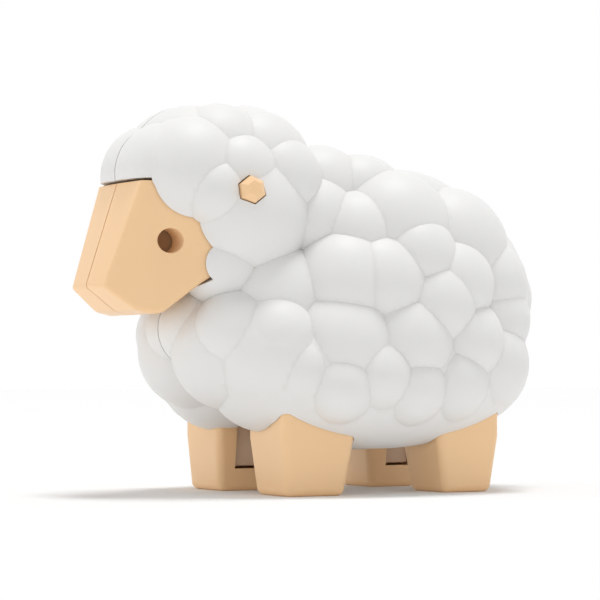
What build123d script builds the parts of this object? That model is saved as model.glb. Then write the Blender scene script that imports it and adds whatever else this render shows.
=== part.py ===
# Sheep figurine: two tufted half shells that meet on the middle plane, with tan faces, ears and legs,
# magnets in the meeting faces and a pale skeleton standing inside.
# Head toward -X, the sheep's left side toward -Y, feet on Z = 0, the halves meet on Y = 0. Lengths in mm.
import os
from math import cos, radians, sin

from build123d import *

# Wool envelopes: middle and half sizes of the ellipsoids that the tufts touch from inside, with the head's
# middle below the top of the face
face_top_z, head_drop = 56.6, 3.7
body_x, body_z = 12.0, 35.4
body_half_length, body_half_width, body_half_height = 35.5, 28.0, 27.5
head_x, head_z = -20.5, face_top_z - head_drop
head_half_length, head_half_width, head_half_height = 21.5, 19.0, 19.5
chest_x, chest_z = -13.0, 27.4
chest_half_length, chest_half_width, chest_half_height = 20.0, 24.0, 17.5
skirt_x, skirt_y, skirt_z = 6.0, 12.5, 23.0
skirt_half_length, skirt_half_height = 34.5, 16.3
girth_z, girth_half_height = 29.4, 30.0
tuft_radius = 10.0

# Smooth undercoat below the tufts, which is round about X, and how far the tufts reach into it
undercoat_depth, tuft_root, whole_depth = 4.4, 3.0, 40.0
body_radius = min(body_half_width, body_half_height)
tuft_depth = undercoat_depth + tuft_root + max(body_half_width, body_half_height) - body_radius
belly_x, belly_z, belly_half_length, belly_radius = 9.0, 28.4, 34.0, 20.7
flank_half_length, flank_radius = 33.0, 14.8
breast_x, breast_y, breast_z, breast_radius = -15.0, 9.5, 23.6, 12.3

# Hollow of the shells
shell_depth = 7.0
head_hollow_half_length, head_hollow_radius = 14.5, 10.5
flank_hollow_half_length, flank_hollow_radius = 25.0, 9.6

# Meeting faces, magnets and locating pins, which lie an inset below the wool around them
parting_gap = 0.3
magnet_radius, magnet_thickness, magnet_boss_wall, magnet_boss_depth = 3.0, 2.0, 1.6, 14.0
head_magnet_back, head_magnet_inset = 8.5, 9.5
chest_magnet_drop, chest_magnet_inset = 1.5, 11.0
rump_magnet_inset = 6.5
pin_radius, pin_reach, pin_clearance = 1.3, 2.6, 0.1
back_pin_back, back_pin_inset = 2.0, 2.9
belly_pin_ahead, belly_pin_inset = 3.0, 3.3
brow_pin_ahead, brow_pin_inset = 10.5, 7.0

# Face
nose_x, nose_z = -47.5, 37.8
nose_half_width, nose_setback = 7.0, 0.4
brow_x, brow_z, brow_half_width, brow_setback = -41.7, 55.4, 9.7, 2.7
face_back_x, face_reach = -27.5, 16.0
chin_front_x, chin_front_z = -41.6, 33.4
chin_back_x, chin_back_z = -37.2, 32.6
jaw_x, jaw_z = -30.2, 38.3
jaw_back_z = 40.0
chin_round, face_edge_round = 3.0, 0.9
cheek_wall, face_wall, face_throat = 4.4, 3.0, 9.0
face_gap, hood_gap = 0.35, 0.5
eye_x, eye_radius, eye_rim_round = -35.7, 2.2, 0.25
face_peg_radius, face_peg_length, face_peg_y = 1.0, 3.5, 11.9

# Ears
ear_radius, ear_out, ear_tip, ear_in = 2.5, 0.4, 1.2, 3.4
ear_gap, ear_stem_radius, ear_stem_length = 0.25, 1.6, 3.4
ear_clear = 8.0

# Legs
leg_knee_z, leg_top_z = 10.4, 18.4
front_leg_top_front, front_leg_top_back = -17.5, -2.4
front_leg_foot_front, front_leg_foot_back = -16.5, -4.5
rear_leg_top_front, rear_leg_top_back = 15.5, 29.2
rear_leg_foot_front, rear_leg_foot_back = 16.9, 27.5
leg_inner_top, leg_inner_foot = 5.8, 7.0
leg_outer_top, leg_outer_foot = 19.6, 19.3
leg_corner, leg_foot_round = 1.5, 1.4
leg_gap, leg_wall, leg_roof = 0.15, 2.0, 5.5
leg_peg_radius, leg_peg_length, leg_peg_y = 2.0, 4.0, 16.3
slot_width, slot_floor_z, slot_top_z = 6.0, 4.2, 36.4
front_slot_x, rear_slot_x = -10.5, 23.0

# Skeleton
bone_gap = 0.45
bone_width = slot_width - bone_gap - bone_gap
bone_outer, bone_inner = 12.4, 7.6
hip_half_width, hip_low_z, hip_high_z, hip_outer = 4.0, 28.4, 34.4, 9.5
bridge_inner, bridge_height = 0.3, 3.6
front_bridge_z, rear_bridge_z = 12.4, 11.0
hip_peg_radius, hip_peg_length, hip_peg_z = 1.4, 2.6, 31.4
spine_thickness, spine_height = 3.0, 5.5
spine_in_skull, neck_drop = 6.3, 4.5
shoulder_top_z, back_z, pelvis_top_z = 44.9, 50.2, 46.9
tail_reach, tail_z = 11.0, 38.4
rib_x, rib_pitch, rib_thickness, rib_wall = -1.0, 6.0, 2.2, 2.6
rib_half_width, rib_half_height, rib_rise = 13.0, 12.5, 0.2
rib_z = back_z + rib_rise - rib_half_height

# Hand-chosen counts, shares and angles
rib_count = 4
# Tufts: longitude (0 at the nose end, 90 on the flank, 180 at the rump), latitude, then radius and lift off
# the envelope as shares of the tuft radius
head_tuft_shares = (
    (40, 31, 1.13, 0.19), (19, 28, 0.98, 0.23), (65, 8, 0.70, 0.05), (83, 25, 0.78, 0.04),
    (66, 60, 0.98, 0.07), (127, 50, 1.10, 0.09), (95, -13, 1.30, 0.10), (15, 53, 1.20, 0.10),
    (160, 68, 1.00, 0.05), (120, 22, 0.86, 0.14), (70, -51, 0.77, 0.24),
)
chest_tuft_shares = (
    (84, 58, 1.10, 0.33), (40, 12, 0.80, 0.17), (27, -10, 1.10, 0.10), (63, -19, 1.15, 0.14),
    (8, 17, 0.75, 0.10), (69, 7, 0.76, 0.11), (88, -24, 0.74, 0.24),
)
body_tuft_shares = (
    (26, 61, 0.93, 0.52), (35, 44, 0.90, 0.31), (58, 9, 1.08, 0.10), (72, 9, 1.00, 0.05),
    (61, 39, 0.90, 0.04), (82, 48, 1.20, 0.19), (56, 66, 0.80, 0.25), (87, 24, 0.85, 0.04),
    (118, 39, 1.20, 0.12), (102, 10, 0.90, 0.02), (126, 12, 0.95, 0.00),
)
girth_tuft_shares = (
    (92, 13, 0.90, 0.14), (55, -7, 1.20, 0.37), (80, -4, 1.05, 0.16), (105, -3, 0.86, 0.12),
    (126, 8, 0.88, 0.04), (121, -14, 1.00, 0.16),
)
rump_tuft_shares = (
    (105, 64, 1.10, -0.02), (20, 84, 1.00, 0.15), (150, 68, 1.10, -0.08), (150, 46, 1.10, -0.05),
    (172, 52, 1.00, -0.05), (150, 24, 1.00, -0.20), (170, 30, 1.00, -0.10), (176, 6, 1.00, 0.00),
    (150, 2, 1.00, -0.25), (170, -16, 1.00, -0.10), (149, -18, 1.00, -0.25), (160, -36, 1.00, 0.00),
)
skirt_tuft_shares = (
    (64, -18, 0.71, 0.09), (79, -6, 0.70, 0.07), (92, -19, 0.75, 0.08), (110, -14, 0.80, 0.07),
)
# Heights of the eye, of the pegs on the back of the face and of the spine's end in the skull, as shares of
# the way from the jaw to the top
eye_share, face_peg_shares, skull_spine_share = 0.355, (0.42, 0.69), 0.415
ear_longitude, ear_latitude, ear_turn, ear_taper = 82, 6, 38, 38

left_of_gap = Plane.XZ.offset(parting_gap / 2)


def face_height(share):
    """Gives the height at a share of the way from the jaw to the top of the face."""
    return jaw_back_z + share * (face_top_z - jaw_back_z)


def envelope_place(middle, half_sizes, longitude, latitude):
    """Gives the point of an ellipsoid at a longitude and latitude, and the direction out of it there."""
    turn, rise = radians(longitude), radians(latitude)
    way = Vector(-cos(turn) * cos(rise), -sin(turn) * cos(rise), sin(rise))
    point = Vector(
        middle[0] + half_sizes[0] * way.X,
        middle[1] + half_sizes[1] * way.Y,
        middle[2] + half_sizes[2] * way.Z,
    )
    out = Vector(way.X / half_sizes[0], way.Y / half_sizes[1], way.Z / half_sizes[2]).normalized()
    return point, out


def tufts(middle, half_sizes, rows, depth):
    """Gives the tufts of one envelope: balls that touch it from inside, cut off level a depth below it."""
    balls = []
    for longitude, latitude, radius_share, lift_share in rows:
        point, out = envelope_place(middle, half_sizes, longitude, latitude)
        radius = radius_share * tuft_radius
        centre = point + out * (lift_share * tuft_radius - radius)
        across = Vector(-out.Y, out.X, 0).normalized()
        with BuildPart() as ball:
            with Locations(Plane(origin=centre, x_dir=-out, z_dir=across)):
                Sphere(radius)
            split(bisect_by=Plane(origin=point - out * depth, z_dir=out), keep=Keep.TOP)
        balls.append(ball.part)
    return balls


def spheroid(middle, half_length, radius):
    """Gives a ball stretched along X."""
    with BuildPart() as stretched:
        with BuildSketch(Plane(origin=middle, x_dir=(1, 0, 0), z_dir=(0, -1, 0))):
            with BuildLine():
                EllipticalCenterArc((0, 0), half_length, radius, start_angle=0, arc_size=180)
                Line((-half_length, 0), (half_length, 0))
            make_face()
        revolve(axis=Axis(middle, (1, 0, 0)))
    return stretched.part


def block(front, back, outer, inner, low, high):
    """Gives a box on the left side, between two X places, two distances off the middle and two heights."""
    with BuildPart(Location(((front + back) / 2, -(outer + inner) / 2, (low + high) / 2))) as box:
        Box(back - front, outer - inner, high - low)
    return box.part


def rod(x, z, radius, start, reach):
    """Gives a cylinder along Y that starts a distance left of the middle and reaches further left."""
    with BuildPart(Plane(origin=(x, -start, z), x_dir=(1, 0, 0), z_dir=(0, -1, 0))) as round_rod:
        Cylinder(radius, reach, align=(Align.CENTER, Align.CENTER, Align.MIN))
    return round_rod.part


# Planes of the left face: the flat cheek, and the front that falls back from the seam
cheek_lean = (brow_half_width - nose_half_width) / (brow_x + brow_setback - nose_x - nose_setback)
cheek_point = Vector(nose_x + nose_setback, -nose_half_width, nose_z)
cheek_out = Vector(-cheek_lean, -1, 0).normalized()
seam_low = Vector(nose_x, 0, nose_z)
seam_high = Vector(brow_x, 0, brow_z)
front_out = (cheek_point - seam_low).cross(seam_high - seam_low).normalized()
front_out = front_out if front_out.X < 0 else -front_out
seam_lean = (brow_x - nose_x) / (brow_z - nose_z)


def face_wedge(shrink, cheek_shrink, top_z, fronted):
    """Gives the left half of the face under a top height, shrunk by a distance (grown if below zero)."""
    with BuildPart() as wedge:
        with BuildSketch(Plane.XZ) as outline:
            with BuildLine():
                Polyline(
                    (nose_x, nose_z), (chin_front_x, chin_front_z), (chin_back_x, chin_back_z),
                    (jaw_x, jaw_z), (face_back_x, jaw_back_z), (face_back_x, top_z),
                    (nose_x + seam_lean * (top_z - nose_z), top_z), close=True,
                )
            make_face()
            chin = outline.vertices().filter_by(lambda corner: corner.Y < nose_z - chin_round / 2)
            fillet(chin, radius=chin_round)
            if shrink:
                offset(amount=-shrink, kind=Kind.INTERSECTION)
        extrude(amount=face_reach)
        cheek = Plane(origin=cheek_point - cheek_out * cheek_shrink, z_dir=-cheek_out)
        split(bisect_by=cheek, keep=Keep.TOP)
        if fronted:
            split(bisect_by=Plane(origin=seam_low - front_out * shrink, z_dir=-front_out), keep=Keep.TOP)
    return wedge.part


# Ear: a six-sided stub with a tapered tip, on a stem
ear_point, ear_way = envelope_place(
    (head_x, 0, head_z), (head_half_length, head_half_width, head_half_height), ear_longitude, ear_latitude
)
ear_plane = Plane(origin=ear_point, x_dir=Vector(-ear_way.Y, ear_way.X, 0), z_dir=ear_way)
with BuildPart() as ear_left:
    with BuildSketch(ear_plane.offset(-ear_in)):
        RegularPolygon(ear_radius, side_count=6, rotation=ear_turn)
    extrude(amount=ear_in + ear_out)
    with BuildSketch(ear_plane.offset(ear_out)):
        RegularPolygon(ear_radius, side_count=6, rotation=ear_turn)
    extrude(amount=ear_tip, taper=ear_taper)
    with BuildSketch(ear_plane.offset(-ear_in)):
        Circle(ear_stem_radius)
    extrude(amount=-ear_stem_length)
with BuildPart() as ear_hole:
    with BuildSketch(ear_plane.offset(-ear_in)):
        RegularPolygon(ear_radius + ear_gap, side_count=6, rotation=ear_turn)
    extrude(amount=ear_clear)
    with BuildSketch(ear_plane.offset(-ear_in)):
        Circle(ear_stem_radius)
    extrude(amount=-ear_stem_length)

# Face: a hollow wedge with a round eye hole, and pegs at its back
with BuildPart() as face_left:
    add(face_wedge(0, 0, face_top_z, True))
    rim = edges().filter_by(
        lambda edge: abs((edge.center() - cheek_point).dot(cheek_out)) < face_edge_round / 2
    )
    rim = rim.filter_by(lambda edge: edge.center().X < face_back_x - face_edge_round / 2)
    rim = rim.filter_by(lambda edge: edge.center().Z < face_top_z - face_edge_round / 2)
    crease = edges().filter_by(lambda edge: edge.center().X < nose_x + nose_setback)
    fillet(rim + crease, radius=face_edge_round)
    add(face_wedge(face_wall, cheek_wall, face_top_z, True), mode=Mode.SUBTRACT)
    add(
        block(
            jaw_x - face_wall, face_back_x + face_wall, face_throat, 0,
            jaw_back_z + face_wall, face_top_z - face_wall,
        ),
        mode=Mode.SUBTRACT,
    )
    add(rod(eye_x, face_height(eye_share), eye_radius, nose_half_width / 2, face_reach), mode=Mode.SUBTRACT)
    fillet(edges(Select.LAST).sort_by(Axis.Y)[0], radius=eye_rim_round)
    for peg_share in face_peg_shares:
        peg_z = face_height(peg_share)
        with Locations(Plane(origin=(face_back_x, -face_peg_y, peg_z), z_dir=(1, 0, 0))):
            Cylinder(face_peg_radius, face_peg_length, align=(Align.CENTER, Align.CENTER, Align.MIN))
    split(bisect_by=left_of_gap, keep=Keep.TOP)

# Legs: tapered blocks with a plug above the knee, a slot on the inner side and a peg on top
leg_sizes = {
    "front": (
        front_leg_top_front, front_leg_top_back, front_leg_foot_front, front_leg_foot_back, front_slot_x,
    ),
    "rear": (
        rear_leg_top_front, rear_leg_top_back, rear_leg_foot_front, rear_leg_foot_back, rear_slot_x,
    ),
}


def leg_section(front, back, outer, inner, height, grow=0):
    """Draws one level outline of a left leg."""
    with BuildSketch(Plane.XY.offset(height)) as section:
        with Locations(((front + back) / 2, -(outer + inner) / 2)):
            RectangleRounded(back - front + grow + grow, outer - inner + grow + grow, leg_corner + grow)
    return section.sketch


def slot(slot_x, top_z):
    """Gives the free space of a left leg bone, open to the middle."""
    front, back = slot_x - slot_width / 2, slot_x + slot_width / 2
    return block(front, back, bone_outer + bone_gap, 0, slot_floor_z, top_z)


legs = {}
for name, (top_front, top_back, foot_front, foot_back, slot_x) in leg_sizes.items():
    with BuildPart() as leg:
        foot = leg_section(foot_front, foot_back, leg_outer_foot, leg_inner_foot, 0)
        knee = leg_section(top_front, top_back, leg_outer_top, leg_inner_top, leg_knee_z)
        loft([foot.face(), knee.face()], ruled=True)
        fillet(edges().group_by(Axis.Z)[0], radius=leg_foot_round)
        extrude(knee, amount=leg_top_z - leg_knee_z)
        add(slot(slot_x, slot_top_z), mode=Mode.SUBTRACT)
        with Locations((slot_x, -leg_peg_y, leg_top_z)):
            Cylinder(leg_peg_radius, leg_peg_length, align=(Align.CENTER, Align.CENTER, Align.MIN))
    legs[name] = leg

# Spine: a plate on the middle plane, from the skull over the shoulder, the ribs and the pelvis to the tail
spine_path = [
    (face_back_x - spine_in_skull, face_height(skull_spine_share)), (head_x, head_z - neck_drop),
    (front_slot_x, shoulder_top_z),
    (body_x, back_z), (rear_slot_x, pelvis_top_z), (rear_slot_x + tail_reach, tail_z),
]


def spine_plate(grow):
    """Gives the spine, grown by a distance all round."""
    with BuildPart() as plate:
        with BuildSketch(Plane.XZ):
            with BuildLine():
                Spline(spine_path)
            trace(line_width=spine_height + grow + grow)
        extrude(amount=spine_thickness / 2 + grow, both=True)
    return plate.part


spine = spine_plate(0)

# Wool of the left half: tufts over a smooth undercoat, cut off at the meeting face
body_middle, head_middle, chest_middle = (body_x, 0, body_z), (head_x, 0, head_z), (chest_x, 0, chest_z)
girth_middle, skirt_middle = (body_x, 0, girth_z), (skirt_x, -skirt_y, skirt_z)
head_half_sizes = (head_half_length, head_half_width, head_half_height)
chest_half_sizes = (chest_half_length, chest_half_width, chest_half_height)
body_half_sizes = (body_half_length, body_half_width, body_half_height)
girth_half_sizes = (body_half_length, body_half_width, girth_half_height)
skirt_half_sizes = (skirt_half_length, skirt_half_height, skirt_half_height)
with BuildPart() as head_wool:
    add(
        tufts(head_middle, head_half_sizes, head_tuft_shares, whole_depth)
        + tufts(chest_middle, chest_half_sizes, chest_tuft_shares, whole_depth)
    )
with BuildPart() as body_wool:
    add(
        tufts(body_middle, body_half_sizes, body_tuft_shares + rump_tuft_shares, tuft_depth)
        + tufts(girth_middle, girth_half_sizes, girth_tuft_shares, tuft_depth)
        + tufts(skirt_middle, skirt_half_sizes, skirt_tuft_shares, tuft_depth)
    )
with BuildPart() as undercoat:
    add([
        spheroid(body_middle, body_half_length - undercoat_depth, body_radius - undercoat_depth),
        spheroid(head_middle, head_half_length - undercoat_depth, head_half_width - undercoat_depth),
        spheroid(chest_middle, chest_half_length - undercoat_depth, chest_half_height - undercoat_depth),
        spheroid((belly_x, 0, belly_z), belly_half_length, belly_radius),
        spheroid(skirt_middle, flank_half_length, flank_radius),
    ])
    with Locations((breast_x, -breast_y, breast_z)):
        Sphere(breast_radius)

magnet_places = (
    (head_x + head_magnet_back, head_z + head_half_height - head_magnet_inset),
    (chest_x - chest_half_length + chest_magnet_inset, chest_z - chest_magnet_drop),
    (body_x + body_half_length - rump_magnet_inset, body_z),
)
pin_places = (
    (body_x + back_pin_back, body_z + body_half_height - back_pin_inset),
    (belly_x - belly_pin_ahead, belly_z - belly_radius + belly_pin_inset),
    (head_x - brow_pin_ahead, head_z + head_half_height - brow_pin_inset),
)

# Hollow of the left half, leaving the bosses of the magnets and the blocks that hold the legs
with BuildPart() as hollow:
    add([
        spheroid(body_middle, body_half_length - shell_depth, body_radius - shell_depth),
        spheroid(head_middle, head_hollow_half_length, head_hollow_radius),
        spheroid(skirt_middle, flank_hollow_half_length, flank_hollow_radius),
    ])
    add(
        [
            block(
                top_front - leg_wall, top_back + leg_wall,
                leg_outer_top + leg_wall, leg_inner_top - leg_wall, 0, leg_top_z + leg_roof,
            )
            for top_front, top_back, foot_front, foot_back, slot_x in leg_sizes.values()
        ]
        + [rod(x, z, magnet_radius + magnet_boss_wall, 0, magnet_boss_depth) for x, z in magnet_places],
        mode=Mode.SUBTRACT,
    )

# What the left half leaves free: the face and the space before it, the ear, the legs, bones and magnets
face_room = face_wedge(-face_gap, -face_gap, face_top_z + hood_gap - face_gap, False)
openings = [face_room, ear_hole.part, hollow.part]
openings.append(
    block(nose_x, jaw_x - face_wall, brow_half_width + face_gap, 0, nose_z, face_top_z + hood_gap)
)
for peg_share in face_peg_shares:
    peg_z = face_height(peg_share)
    with BuildPart(Plane(origin=(face_back_x, -face_peg_y, peg_z), z_dir=(1, 0, 0))) as peg_hole:
        Cylinder(face_peg_radius, face_peg_length, align=(Align.CENTER, Align.CENTER, Align.MIN))
    openings.append(peg_hole.part)
for top_front, top_back, foot_front, foot_back, slot_x in leg_sizes.values():
    with BuildPart() as socket:
        extrude(leg_section(top_front, top_back, leg_outer_top, leg_inner_top, 0, leg_gap), amount=leg_top_z)
        with Locations((slot_x, -leg_peg_y, leg_top_z)):
            Cylinder(leg_peg_radius, leg_peg_length, align=(Align.CENTER, Align.CENTER, Align.MIN))
    openings.append(socket.part)
    openings.append(slot(slot_x, slot_top_z))
for x, z in magnet_places:
    openings.append(rod(x, z, magnet_radius, 0, magnet_thickness + parting_gap))

# Room for the spine, for the ribs and for the blocks that carry the leg bones
openings.append(spine_plate(bone_gap))
with BuildPart() as rib_room:
    with BuildSketch(Plane.YZ.offset(rib_x - rib_thickness)):
        with Locations((0, rib_z)):
            Ellipse(rib_half_width + bone_gap, rib_half_height + bone_gap)
    extrude(amount=(rib_count - 1) * rib_pitch + rib_thickness + rib_thickness)
openings.append(rib_room.part)
for slot_x, top_z in ((front_slot_x, shoulder_top_z), (rear_slot_x, pelvis_top_z)):
    openings.append(
        block(
            slot_x - slot_width / 2, slot_x + slot_width / 2, hip_half_width + bone_gap, 0,
            hip_low_z - bone_gap, top_z + bone_gap,
        )
    )

with BuildPart() as fleece_half:
    add(undercoat.part)
    add(head_wool.part)
    add(body_wool.part)
    split(bisect_by=left_of_gap, keep=Keep.TOP)
    add(openings, mode=Mode.SUBTRACT)

with BuildPart() as fleece_left:
    add(fleece_half.part)
    for x, z in pin_places:
        add(rod(x, z, pin_radius, -pin_reach, pin_reach + pin_reach))
with BuildPart() as fleece_right:
    mirror(fleece_half.part, about=Plane.XZ)
    for x, z in pin_places:
        pin_hole = rod(x, z, pin_radius + pin_clearance, -pin_reach - parting_gap, pin_reach + parting_gap)
        add(pin_hole, mode=Mode.SUBTRACT)

# Magnets: discs let into the meeting faces
with BuildPart() as magnets_left:
    for x, z in magnet_places:
        add(rod(x, z, magnet_radius, parting_gap, magnet_thickness))

# Ribs: rings that are open at the top, where their ends meet the sides of the spine
with BuildPart() as ribs:
    for rib in range(rib_count):
        with BuildSketch(Plane.YZ.offset(rib_x + rib * rib_pitch)):
            with Locations((0, rib_z)):
                Ellipse(rib_half_width, rib_half_height)
                Ellipse(rib_half_width - rib_wall, rib_half_height - rib_wall, mode=Mode.SUBTRACT)
                Rectangle(
                    spine_thickness, rib_half_height + rib_wall,
                    align=(Align.CENTER, Align.MIN), mode=Mode.SUBTRACT,
                )
        extrude(amount=rib_thickness / 2, both=True)


def hip(slot_x, top_z):
    """Gives the block on the middle plane that carries a pair of leg bones and hangs on the spine."""
    with BuildPart() as carrier:
        with Locations((slot_x, 0, (hip_low_z + top_z) / 2)):
            Box(bone_width, hip_half_width + hip_half_width, top_z - hip_low_z)
        add(spine, mode=Mode.SUBTRACT)
        for start in (hip_half_width - hip_peg_length, -hip_half_width):
            add(rod(slot_x, hip_peg_z, hip_peg_radius, start, hip_peg_length), mode=Mode.SUBTRACT)
    return carrier


def leg_bone(slot_x, bridge_z):
    """Gives a left leg bone: a foot in the leg's slot, a bridge over the belly and a peg at the hip."""
    with BuildPart() as bone:
        with BuildSketch(Plane.YZ.offset(slot_x)):
            with BuildLine():
                Polyline(
                    (-bone_outer, slot_floor_z + bone_gap), (-bone_inner, slot_floor_z + bone_gap),
                    (-bone_inner, bridge_z), (-bridge_inner, bridge_z),
                    (-bridge_inner, bridge_z + bridge_height),
                    (-hip_half_width, bridge_z + bridge_height), (-hip_half_width, hip_high_z),
                    (-hip_outer, hip_high_z), (-bone_outer, hip_low_z), close=True,
                )
            make_face()
        extrude(amount=bone_width / 2, both=True)
        add(rod(slot_x, hip_peg_z, hip_peg_radius, hip_half_width - hip_peg_length, hip_peg_length))
    return bone


shoulder = hip(front_slot_x, shoulder_top_z)
pelvis = hip(rear_slot_x, pelvis_top_z)
front_leg_bone_left = leg_bone(front_slot_x, front_bridge_z)
rear_leg_bone_left = leg_bone(rear_slot_x, rear_bridge_z)

# Skull: fills the face with room to spare, so its flat side shows behind the eye hole
with BuildPart() as skull:
    add(face_wedge(face_wall + bone_gap, cheek_wall + bone_gap, face_top_z, True))
    mirror(about=Plane.XZ)
    add(spine, mode=Mode.SUBTRACT)

pieces = {
    "fleece_left": fleece_left.part,
    "fleece_right": fleece_right.part,
    "magnets_left": magnets_left.part,
    "face_left": face_left.part,
    "ear_left": ear_left.part,
    "leg_front_left": legs["front"].part,
    "leg_rear_left": legs["rear"].part,
    "front_leg_bone_left": front_leg_bone_left.part,
    "rear_leg_bone_left": rear_leg_bone_left.part,
    "spine": spine,
    "ribs": ribs.part,
    "shoulder": shoulder.part,
    "pelvis": pelvis.part,
    "skull": skull.part,
}
for name in [name for name in pieces if name.endswith("_left") and name != "fleece_left"]:
    with BuildPart() as other_side:
        mirror(pieces[name], about=Plane.XZ)
    pieces[name.replace("_left", "_right")] = other_side.part

os.makedirs("parts", exist_ok=True)
for name, piece in pieces.items():
    piece.label = name
    export_step(piece, "parts/" + name + ".step")
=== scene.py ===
"""Looks of the tufted sheep figurine: white wool, tan face, ears and legs, and a skeleton inside."""

import logging
from dataclasses import dataclass, field
from enum import Enum
from math import radians

import bmesh
import bpy
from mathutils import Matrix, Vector


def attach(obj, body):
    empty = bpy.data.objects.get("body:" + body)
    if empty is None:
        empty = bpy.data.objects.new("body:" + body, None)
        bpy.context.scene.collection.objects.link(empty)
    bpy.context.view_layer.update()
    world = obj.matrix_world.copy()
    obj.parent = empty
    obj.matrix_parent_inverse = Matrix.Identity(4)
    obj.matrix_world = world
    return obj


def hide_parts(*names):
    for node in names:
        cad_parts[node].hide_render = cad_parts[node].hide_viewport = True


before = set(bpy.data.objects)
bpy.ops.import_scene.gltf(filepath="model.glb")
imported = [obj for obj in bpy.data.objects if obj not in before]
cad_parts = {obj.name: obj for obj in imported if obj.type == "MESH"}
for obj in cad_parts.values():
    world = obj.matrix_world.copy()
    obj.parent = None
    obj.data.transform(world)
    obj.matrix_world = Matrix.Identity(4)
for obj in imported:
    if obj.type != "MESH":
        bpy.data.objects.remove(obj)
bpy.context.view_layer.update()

MM = 0.001
LOG = logging.getLogger("sheep")
# Attribute that marks crease bottoms, where the wool's colour is darkened as painted shade
PAINTED_CREASE_SHADE = "hollow"

# Vertices nearer than this merge, faces within this many degrees join, and a rounding has this many steps
MERGE_DISTANCE = 0.0005 * MM
FLAT_ANGLE = 0.5
ROUND_SEGMENTS = 2

# Noise that the finishes share: scales are waves per metre
DRIFT_SCALE, DRIFT_DETAIL = 70.0, 3.0
GRAIN_DETAIL, GRAIN_ROUGHNESS = 4.0, 0.65
GLOSS_SCALE, GLOSS_DETAIL = 220.0, 5.0
NOISE_MIDDLE = 0.5

Colour = tuple[float, float, float]

WHITE: Colour = (1.0, 1.0, 1.0)


class Side(Enum):
    """The two halves of the figurine."""

    LEFT = "left"
    RIGHT = "right"

    @property
    def body(self) -> str:
        """Name of the CAD body that the pieces of this half ride on."""
        return f"{self.value}_half"


class Pair(Enum):
    """The two pairs of legs."""

    FRONT = "front"
    REAR = "rear"


def shade(rgb: Colour) -> tuple[float, float, float, float]:
    """Gives a colour with full alpha, as node sockets take it."""
    return (*rgb, 1.0)


def moulded_skin() -> bpy.types.ShaderNodeTree:
    """Makes the group that gives a surface its tone drift, painted shade in its creases, fine tool grain
    and uneven gloss.

    Returns:
        The node group, made once and shared by every finish.
    """
    name = "moulded skin"
    if name in bpy.data.node_groups:
        return bpy.data.node_groups[name]
    tree = bpy.data.node_groups.new(name, "ShaderNodeTree")
    sockets = tree.interface
    sockets.new_socket("Colour", in_out="INPUT", socket_type="NodeSocketColor")
    sockets.new_socket("Deep Colour", in_out="INPUT", socket_type="NodeSocketColor")
    for label in ("Hollow", "Drift", "Roughness", "Unevenness", "Grain Scale"):
        sockets.new_socket(label, in_out="INPUT", socket_type="NodeSocketFloat")
    sockets.new_socket("Colour", in_out="OUTPUT", socket_type="NodeSocketColor")
    sockets.new_socket("Roughness", in_out="OUTPUT", socket_type="NodeSocketFloat")
    sockets.new_socket("Height", in_out="OUTPUT", socket_type="NodeSocketFloat")
    nodes, links = tree.nodes, tree.links
    given, made = nodes.new("NodeGroupInput"), nodes.new("NodeGroupOutput")
    place = nodes.new("ShaderNodeTexCoord")

    drift = nodes.new("ShaderNodeTexNoise")
    drift.inputs["Scale"].default_value = DRIFT_SCALE
    drift.inputs["Detail"].default_value = DRIFT_DETAIL
    links.new(place.outputs["Object"], drift.inputs["Vector"])
    drift_share = nodes.new("ShaderNodeMath")
    drift_share.operation = "MULTIPLY"
    links.new(drift.outputs["Fac"], drift_share.inputs[0])
    links.new(given.outputs["Drift"], drift_share.inputs[1])
    # The tone moves to the deep colour by the random drift, plus the painted shade where creases are marked
    deep_share = nodes.new("ShaderNodeMath")
    deep_share.operation = "ADD"
    deep_share.use_clamp = True
    links.new(drift_share.outputs["Value"], deep_share.inputs[0])
    links.new(given.outputs["Hollow"], deep_share.inputs[1])
    tone = nodes.new("ShaderNodeMix")
    tone.data_type = "RGBA"
    links.new(deep_share.outputs["Value"], tone.inputs["Factor"])
    links.new(given.outputs["Colour"], tone.inputs["A"])
    links.new(given.outputs["Deep Colour"], tone.inputs["B"])
    links.new(tone.outputs["Result"], made.inputs["Colour"])

    grain = nodes.new("ShaderNodeTexNoise")
    grain.inputs["Detail"].default_value = GRAIN_DETAIL
    grain.inputs["Roughness"].default_value = GRAIN_ROUGHNESS
    links.new(place.outputs["Object"], grain.inputs["Vector"])
    links.new(given.outputs["Grain Scale"], grain.inputs["Scale"])
    links.new(grain.outputs["Fac"], made.inputs["Height"])

    gloss = nodes.new("ShaderNodeTexNoise")
    gloss.inputs["Scale"].default_value = GLOSS_SCALE
    gloss.inputs["Detail"].default_value = GLOSS_DETAIL
    links.new(place.outputs["Object"], gloss.inputs["Vector"])
    centred = nodes.new("ShaderNodeMath")
    centred.operation = "SUBTRACT"
    centred.inputs[1].default_value = NOISE_MIDDLE
    links.new(gloss.outputs["Fac"], centred.inputs[0])
    spread = nodes.new("ShaderNodeMath")
    spread.operation = "MULTIPLY_ADD"
    links.new(centred.outputs["Value"], spread.inputs[0])
    links.new(given.outputs["Unevenness"], spread.inputs[1])
    links.new(given.outputs["Roughness"], spread.inputs[2])
    links.new(spread.outputs["Value"], made.inputs["Roughness"])
    return tree


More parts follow.
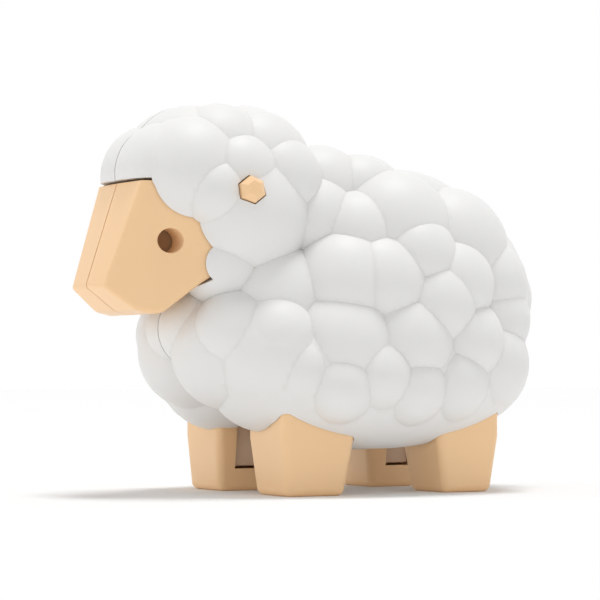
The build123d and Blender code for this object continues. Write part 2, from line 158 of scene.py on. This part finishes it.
@dataclass(frozen=True)
class PlasticFinish:
    """A moulded plastic.

    Attributes:
        name: Name of the material.
        slot: The record's material slot, which this script does not use.
        colour: Its colour on the open surface.
        deep: Its colour where the tone drifts, and the painted shade in its creases.
        roughness: Middle of its roughness.
        drift: How far the tone drifts to the deep colour.
        unevenness: How far the roughness strays.
        grain_scale: Waves of the tool grain per metre.
        grain_depth: Depth of the tool grain, in metres.
        specular: Level of its reflections.
        painted_shade_attribute: Name of the mesh attribute that marks creases for painted shade, if there
            is one.
    """

    name: str
    slot: str
    colour: Colour
    deep: Colour
    roughness: float
    drift: float = 0.25
    unevenness: float = 0.12
    grain_scale: float = 5200.0
    grain_depth: float = 0.012 * MM
    specular: float = 0.4
    painted_shade_attribute: str = ""

    def make(self) -> bpy.types.Material:
        """Makes the material, or gives the one made before.

        Returns:
            The material of this finish.
        """
        if self.name in bpy.data.materials:
            return bpy.data.materials[self.name]
        material = bpy.data.materials.new(self.name)
        material.use_nodes = True
        nodes, links = material.node_tree.nodes, material.node_tree.links
        shader = nodes["Principled BSDF"]
        shader.inputs["Specular IOR Level"].default_value = self.specular
        skin = nodes.new("ShaderNodeGroup")
        skin.node_tree = moulded_skin()
        skin.inputs["Colour"].default_value = shade(self.colour)
        skin.inputs["Deep Colour"].default_value = shade(self.deep)
        skin.inputs["Drift"].default_value = self.drift
        skin.inputs["Roughness"].default_value = self.roughness
        skin.inputs["Unevenness"].default_value = self.unevenness
        skin.inputs["Grain Scale"].default_value = self.grain_scale
        # Marked creases take the deep colour as painted shade
        if self.painted_shade_attribute:
            hollow = nodes.new("ShaderNodeAttribute")
            hollow.attribute_name = self.painted_shade_attribute
            links.new(hollow.outputs["Fac"], skin.inputs["Hollow"])
        links.new(skin.outputs["Colour"], shader.inputs["Base Color"])
        links.new(skin.outputs["Roughness"], shader.inputs["Roughness"])
        bump = nodes.new("ShaderNodeBump")
        bump.inputs["Distance"].default_value = self.grain_depth
        links.new(skin.outputs["Height"], bump.inputs["Height"])
        links.new(bump.outputs["Normal"], shader.inputs["Normal"])
        return material


@dataclass(frozen=True)
class PlatedFinish:
    """A bright plated metal with a faintly uneven tone and gloss.

    Attributes:
        name: Name of the material.
        slot: The record's material slot, which this script does not use.
        colour: Its colour.
        roughness: Middle of its roughness.
        deep_share: The deep colour as a share of the colour.
        drift: How far the tone drifts to the deep colour.
        unevenness: How far the roughness strays.
    """

    name: str
    slot: str
    colour: Colour
    roughness: float
    deep_share: float = 0.8
    drift: float = 0.4
    unevenness: float = 0.2

    def make(self) -> bpy.types.Material:
        """Makes the material, or gives the one made before.

        Returns:
            The material of this finish.
        """
        if self.name in bpy.data.materials:
            return bpy.data.materials[self.name]
        material = bpy.data.materials.new(self.name)
        material.use_nodes = True
        nodes, links = material.node_tree.nodes, material.node_tree.links
        shader = nodes["Principled BSDF"]
        shader.inputs["Metallic"].default_value = 1.0
        skin = nodes.new("ShaderNodeGroup")
        skin.node_tree = moulded_skin()
        skin.inputs["Colour"].default_value = shade(self.colour)
        deep = tuple(self.deep_share * part for part in self.colour)
        skin.inputs["Deep Colour"].default_value = shade(deep)
        skin.inputs["Drift"].default_value = self.drift
        skin.inputs["Roughness"].default_value = self.roughness
        skin.inputs["Unevenness"].default_value = self.unevenness
        links.new(skin.outputs["Colour"], shader.inputs["Base Color"])
        links.new(skin.outputs["Roughness"], shader.inputs["Roughness"])
        return material


# The wool's deep colour serves both its random tone drift and the painted shade in its creases
WOOL = PlasticFinish(
    name="white wool plastic",
    slot="wool",
    colour=(0.80, 0.797, 0.786),
    deep=(0.765, 0.76, 0.745),
    roughness=0.52,
    painted_shade_attribute=PAINTED_CREASE_SHADE,
)
TAN = PlasticFinish(
    name="tan plastic",
    slot="tan",
    colour=(0.93, 0.62, 0.345),
    deep=(0.88, 0.565, 0.295),
    roughness=0.38,
    specular=0.5,
)
BONE = PlasticFinish(
    name="ivory bone plastic",
    slot="bone",
    colour=(0.74, 0.57, 0.43),
    deep=(0.64, 0.47, 0.34),
    roughness=0.55,
)
# The skull takes a dark brown instead of the bone colour, as painted shade that shows in the eye holes
PAINTED_SHADE_SKULL = PlasticFinish(
    name="skull painted dark as eye shade",
    slot="bone",
    colour=(0.40, 0.23, 0.11),
    deep=(0.30, 0.165, 0.075),
    roughness=0.6,
)
NICKEL = PlatedFinish(name="plated magnet", slot="magnet", colour=(0.62, 0.62, 0.63), roughness=0.3)


def merged_copy(node: str, name: str) -> bpy.types.Object:
    """Copies a CAD node's mesh into a new object and merges its loose triangles.

    Args:
        node: Name of the CAD node.
        name: Name of the new piece.

    Returns:
        The new object, linked to the scene.
    """
    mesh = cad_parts[node].data.copy()
    mesh.name = name
    mesh.materials.clear()
    piece = bpy.data.objects.new(name, mesh)
    bpy.context.scene.collection.objects.link(piece)
    work = bmesh.new()
    work.from_mesh(mesh)
    bmesh.ops.remove_doubles(work, verts=work.verts, dist=MERGE_DISTANCE)
    work.to_mesh(mesh)
    work.free()
    return piece


def smooth_shaded(piece: bpy.types.Object, crease_angle: float) -> None:
    """Shades a piece smooth, with its sharper edges kept crisp.

    Args:
        piece: The object.
        crease_angle: Edges that turn by more degrees than this stay sharp.
    """
    mesh = piece.data
    if mesh.has_custom_normals:
        mesh.attributes.remove(mesh.attributes["custom_normal"])
    mesh.shade_smooth()
    mesh.set_sharp_from_angle(angle=radians(crease_angle))


def round_edges(piece: bpy.types.Object, width: float, crease_angle: float) -> None:
    """Rounds the outer edges of a piece a little, as a mould leaves them.

    Args:
        piece: The object.
        width: How far the rounding reaches from the edge, in metres.
        crease_angle: Edges that turn by more degrees than this are rounded.
    """
    work = bmesh.new()
    work.from_mesh(piece.data)
    bmesh.ops.dissolve_limit(work, angle_limit=radians(FLAT_ANGLE), verts=work.verts, edges=work.edges)
    outer = [
        edge for edge in work.edges
        if edge.is_manifold and edge.calc_face_angle_signed() > radians(crease_angle)
    ]
    bmesh.ops.bevel(
        work, geom=outer, offset=width, offset_type="OFFSET", segments=ROUND_SEGMENTS, profile=0.5,
        affect="EDGES", clamp_overlap=True, material=-1,
    )
    work.to_mesh(piece.data)
    work.free()


@dataclass
class Piece:
    """A visual piece that stands for one CAD node.

    Attributes:
        node: The CAD node.
        name: The piece's own name.
        body: The CAD body that it rides on.
        finish: Its finish.
        crease_angle: Edges that turn by more degrees than this stay sharp.
        edge_round: Width of the rounding of its outer edges, in metres.
    """

    node: str
    name: str
    body: str
    finish: PlasticFinish | PlatedFinish
    crease_angle: float = 30.0
    edge_round: float = 0.0

    def build(self) -> bpy.types.Object:
        """Makes the piece from its CAD node.

        Returns:
            The piece, linked to the scene.
        """
        piece = merged_copy(self.node, self.name)
        if self.edge_round:
            round_edges(piece, self.edge_round, self.crease_angle)
        smooth_shaded(piece, self.crease_angle)
        return piece

    def dress(self, piece: bpy.types.Object) -> None:
        """Gives the piece its finish and its body, and hides its CAD node.

        Args:
            piece: The object that build made.
        """
        piece.data.materials.append(self.finish.make())
        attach(piece, self.body)
        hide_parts(self.node)
        LOG.info("%s rides on %s", self.name, self.body)


@dataclass
class Fleece(Piece):
    """One half of the wool: tufts with crisp creases between them.

    Attributes:
        crease_angle: Edges that turn by more degrees than this stay sharp.
        painted_shade_angle: Creases that turn inward by more degrees than this are marked for painted
            shade.
    """

    crease_angle: float = 24.0
    painted_shade_angle: float = 20.0

    @classmethod
    def of(cls, side: Side) -> "Fleece":
        """Describes the wool of one half."""
        node = f"fleece_{side.value}"
        return cls(node=node, name=f"wool_{side.value}", body=side.body, finish=WOOL)

    def build(self) -> bpy.types.Object:
        """Makes the wool and marks the bottoms of its creases, where its colour darkens as painted shade.

        Returns:
            The wool piece.
        """
        piece = super().build()
        work = bmesh.new()
        work.from_mesh(piece.data)
        # Vertices on inward creases get 1, which darkens them as painted shade
        hollow = work.verts.layers.float.new(PAINTED_CREASE_SHADE)
        for edge in work.edges:
            if edge.is_manifold and edge.calc_face_angle_signed() < -radians(self.painted_shade_angle):
                for corner in edge.verts:
                    corner[hollow] = 1.0
        work.to_mesh(piece.data)
        work.free()
        return piece


@dataclass
class TanSet:
    """The tan pieces of one half: the face, the ear and the legs.

    Attributes:
        side: The half.
    """

    side: Side

    def pieces(self) -> list[Piece]:
        """Describes the pieces.

        Returns:
            The pieces, from the head to the tail.
        """
        nodes = ["face", "ear"] + [f"leg_{pair.value}" for pair in Pair]
        return [
            Piece(
                node=f"{node}_{self.side.value}",
                name=f"tan_{node}_{self.side.value}",
                body=self.side.body,
                finish=TAN,
            )
            for node in nodes
        ]


@dataclass
class Skeleton:
    """The bones that stand between the halves: a skull coloured dark brown as painted shade in the eyes,
    and pale others.

    Attributes:
        body: The CAD body that they ride on.
        skull: Node of the skull.
        middle_bones: Nodes of the other bones of the middle.
        edge_round: Width of the rounding of their outer edges, in metres.
    """

    body: str = "skeleton"
    skull: str = "skull"
    middle_bones: tuple[str, ...] = ("spine", "ribs", "shoulder", "pelvis")
    edge_round: float = 0.25 * MM

    def pieces(self) -> list[Piece]:
        """Describes the bones.

        Returns:
            The skull, the bones of the middle, then those of the legs.
        """
        legs = [f"{pair.value}_leg_bone_{side.value}" for pair in Pair for side in Side]
        finishes = {self.skull: PAINTED_SHADE_SKULL} | dict.fromkeys((*self.middle_bones, *legs), BONE)
        return [
            Piece(node=bone, name=f"bone_{bone}", body=self.body, finish=finish, edge_round=self.edge_round)
            for bone, finish in finishes.items()
        ]


@dataclass
class Magnets:
    """The plated discs in the meeting face of one half.

    Attributes:
        side: The half.
        edge_round: Width of the rounding of their edges, in metres.
    """

    side: Side
    edge_round: float = 0.2 * MM

    def pieces(self) -> list[Piece]:
        """Describes the discs.

        Returns:
            The one piece that they are.
        """
        node = f"magnets_{self.side.value}"
        return [
            Piece(
                node=node, name=f"plated_{node}", body=self.side.body, finish=NICKEL,
                edge_round=self.edge_round,
            )
        ]


@dataclass
class Studio:
    """The pale floor, the soft light and the camera.

    Attributes:
        floor_half: Half the floor's side, in metres.
        camera_place: Where the camera stands, in metres.
        camera_aim: The point that it looks at, in metres.
        camera_lens: Its focal length, in millimetres.
        camera_sensor: Width of its sensor, in millimetres.
        camera_near: Nearest distance that it sees, in metres.
        camera_far: Furthest distance that it sees, in metres.
        world_light: Light of the surround on surfaces.
        world_backdrop: Light of the surround as the camera and reflections see it.
        floor_colour: The floor's colour.
        floor_glow: The floor's own light as the camera and reflections see it.
        floor_bounce: The floor's own light on other surfaces.
        sky_lamp_way: The way to the sky lamp.
        sky_lamp_spread: Its width in the sky, in degrees.
        sky_lamp_strength: Its strength.
        side_lamp_place: Where the panel hangs, in metres.
        side_lamp_size: Its side, in metres.
        side_lamp_power: Its power, in watts.
    """

    floor_half: float = 3.0
    camera_place: Vector = field(default_factory=lambda: Vector((-225.0, -389.7, 21.7)) * MM)
    camera_aim: Vector = field(default_factory=lambda: Vector((-2.3, 1.33, 36.12)) * MM)
    camera_lens: float = 142.3
    camera_sensor: float = 36.0
    camera_near: float = 0.01
    camera_far: float = 20.0
    world_light: float = 0.67
    world_backdrop: float = 1.0
    floor_colour: Colour = (0.84, 0.84, 0.84)
    floor_glow: float = 0.015
    floor_bounce: float = 0.09
    sky_lamp_way: Vector = field(default_factory=lambda: Vector((0.12, 0.0, 1.0)))
    sky_lamp_spread: float = 20.0
    sky_lamp_strength: float = 1.55
    side_lamp_place: Vector = field(default_factory=lambda: Vector((-1.0, 0.45, 0.2)))
    side_lamp_size: float = 0.8
    side_lamp_power: float = 1.6

    def light_path_share(self, tree: bpy.types.NodeTree) -> bpy.types.NodeSocket:
        """Adds nodes that give 1 for camera, glossy and transmission rays.

        Args:
            tree: The node tree of a material or the world.

        Returns:
            The socket that holds the share.
        """
        path = tree.nodes.new("ShaderNodeLightPath")
        first = tree.nodes.new("ShaderNodeMath")
        first.operation = "MAXIMUM"
        tree.links.new(path.outputs["Is Camera Ray"], first.inputs[0])
        tree.links.new(path.outputs["Is Glossy Ray"], first.inputs[1])
        second = tree.nodes.new("ShaderNodeMath")
        second.operation = "MAXIMUM"
        tree.links.new(first.outputs["Value"], second.inputs[0])
        tree.links.new(path.outputs["Is Transmission Ray"], second.inputs[1])
        return second.outputs["Value"]

    def build_world(self) -> None:
        """Makes the plain pale surround."""
        world = bpy.data.worlds.new("studio surround")
        world.use_nodes = True
        bpy.context.scene.world = world
        tree = world.node_tree
        background = tree.nodes["Background"]
        background.inputs["Color"].default_value = shade(WHITE)
        strength = tree.nodes.new("ShaderNodeMapRange")
        strength.inputs["To Min"].default_value = self.world_light
        strength.inputs["To Max"].default_value = self.world_backdrop
        tree.links.new(self.light_path_share(tree), strength.inputs["Value"])
        tree.links.new(strength.outputs["Result"], background.inputs["Strength"])

    def build_floor(self) -> bpy.types.Object:
        """Makes the pale floor, which keeps the object's shadow.

        Returns:
            The floor.
        """
        mesh = bpy.data.meshes.new("floor")
        work = bmesh.new()
        bmesh.ops.create_grid(work, x_segments=1, y_segments=1, size=self.floor_half)
        work.to_mesh(mesh)
        work.free()
        floor = bpy.data.objects.new("floor", mesh)
        bpy.context.scene.collection.objects.link(floor)
        material = bpy.data.materials.new("pale floor")
        material.use_nodes = True
        tree = material.node_tree
        shader = tree.nodes["Principled BSDF"]
        shader.inputs["Base Color"].default_value = shade(self.floor_colour)
        shader.inputs["Roughness"].default_value = 1.0
        shader.inputs["Specular IOR Level"].default_value = 0.0
        shader.inputs["Emission Color"].default_value = shade(WHITE)
        glow = tree.nodes.new("ShaderNodeMapRange")
        glow.inputs["To Min"].default_value = self.floor_bounce
        glow.inputs["To Max"].default_value = self.floor_glow
        tree.links.new(self.light_path_share(tree), glow.inputs["Value"])
        tree.links.new(glow.outputs["Result"], shader.inputs["Emission Strength"])
        mesh.materials.append(material)
        return floor

    def hang_lamp(self, data: bpy.types.Light, place: Vector) -> None:
        """Hangs a lamp so that it faces the figurine.

        Args:
            data: The lamp.
            place: Where it hangs, in metres.
        """
        lamp = bpy.data.objects.new(data.name, data)
        lamp.location = place
        lamp.rotation_mode = "QUATERNION"
        lamp.rotation_quaternion = (-place).to_track_quat("-Z", "Y")
        bpy.context.scene.collection.objects.link(lamp)

    def build_lamps(self) -> None:
        """Makes the soft light overhead and the soft panel ahead of the nose."""
        sky = bpy.data.lights.new("sky lamp", "SUN")
        sky.angle = radians(self.sky_lamp_spread)
        sky.energy = self.sky_lamp_strength
        self.hang_lamp(sky, self.sky_lamp_way)
        panel = bpy.data.lights.new("side panel", "AREA")
        panel.shape = "SQUARE"
        panel.size = self.side_lamp_size
        panel.energy = self.side_lamp_power
        self.hang_lamp(panel, self.side_lamp_place)

    def build_camera(self) -> None:
        """Makes the camera at the photograph's angle."""
        data = bpy.data.cameras.new("camera")
        data.lens = self.camera_lens
        data.sensor_width = self.camera_sensor
        data.clip_start = self.camera_near
        data.clip_end = self.camera_far
        camera = bpy.data.objects.new("camera", data)
        camera.location = self.camera_place
        camera.rotation_mode = "QUATERNION"
        camera.rotation_quaternion = (self.camera_aim - self.camera_place).to_track_quat("-Z", "Y")
        bpy.context.scene.collection.objects.link(camera)
        bpy.context.scene.camera = camera

    def build(self) -> None:
        """Makes the whole studio."""
        bpy.context.scene.view_settings.view_transform = "Standard"
        self.build_camera()
        self.build_world()
        self.build_floor()
        self.build_lamps()
        LOG.info("studio ready")


def main() -> None:
    """Builds the studio, then the pieces in order."""
    logging.basicConfig(level=logging.INFO, format="%(name)s: %(message)s")
    Studio().build()
    pieces: list[Piece] = []
    for side in Side:
        pieces += [Fleece.of(side), *TanSet(side).pieces(), *Magnets(side).pieces()]
    pieces += Skeleton().pieces()
    for piece in pieces:
        piece.dress(piece.build())


if __name__ == "__main__":
    main()
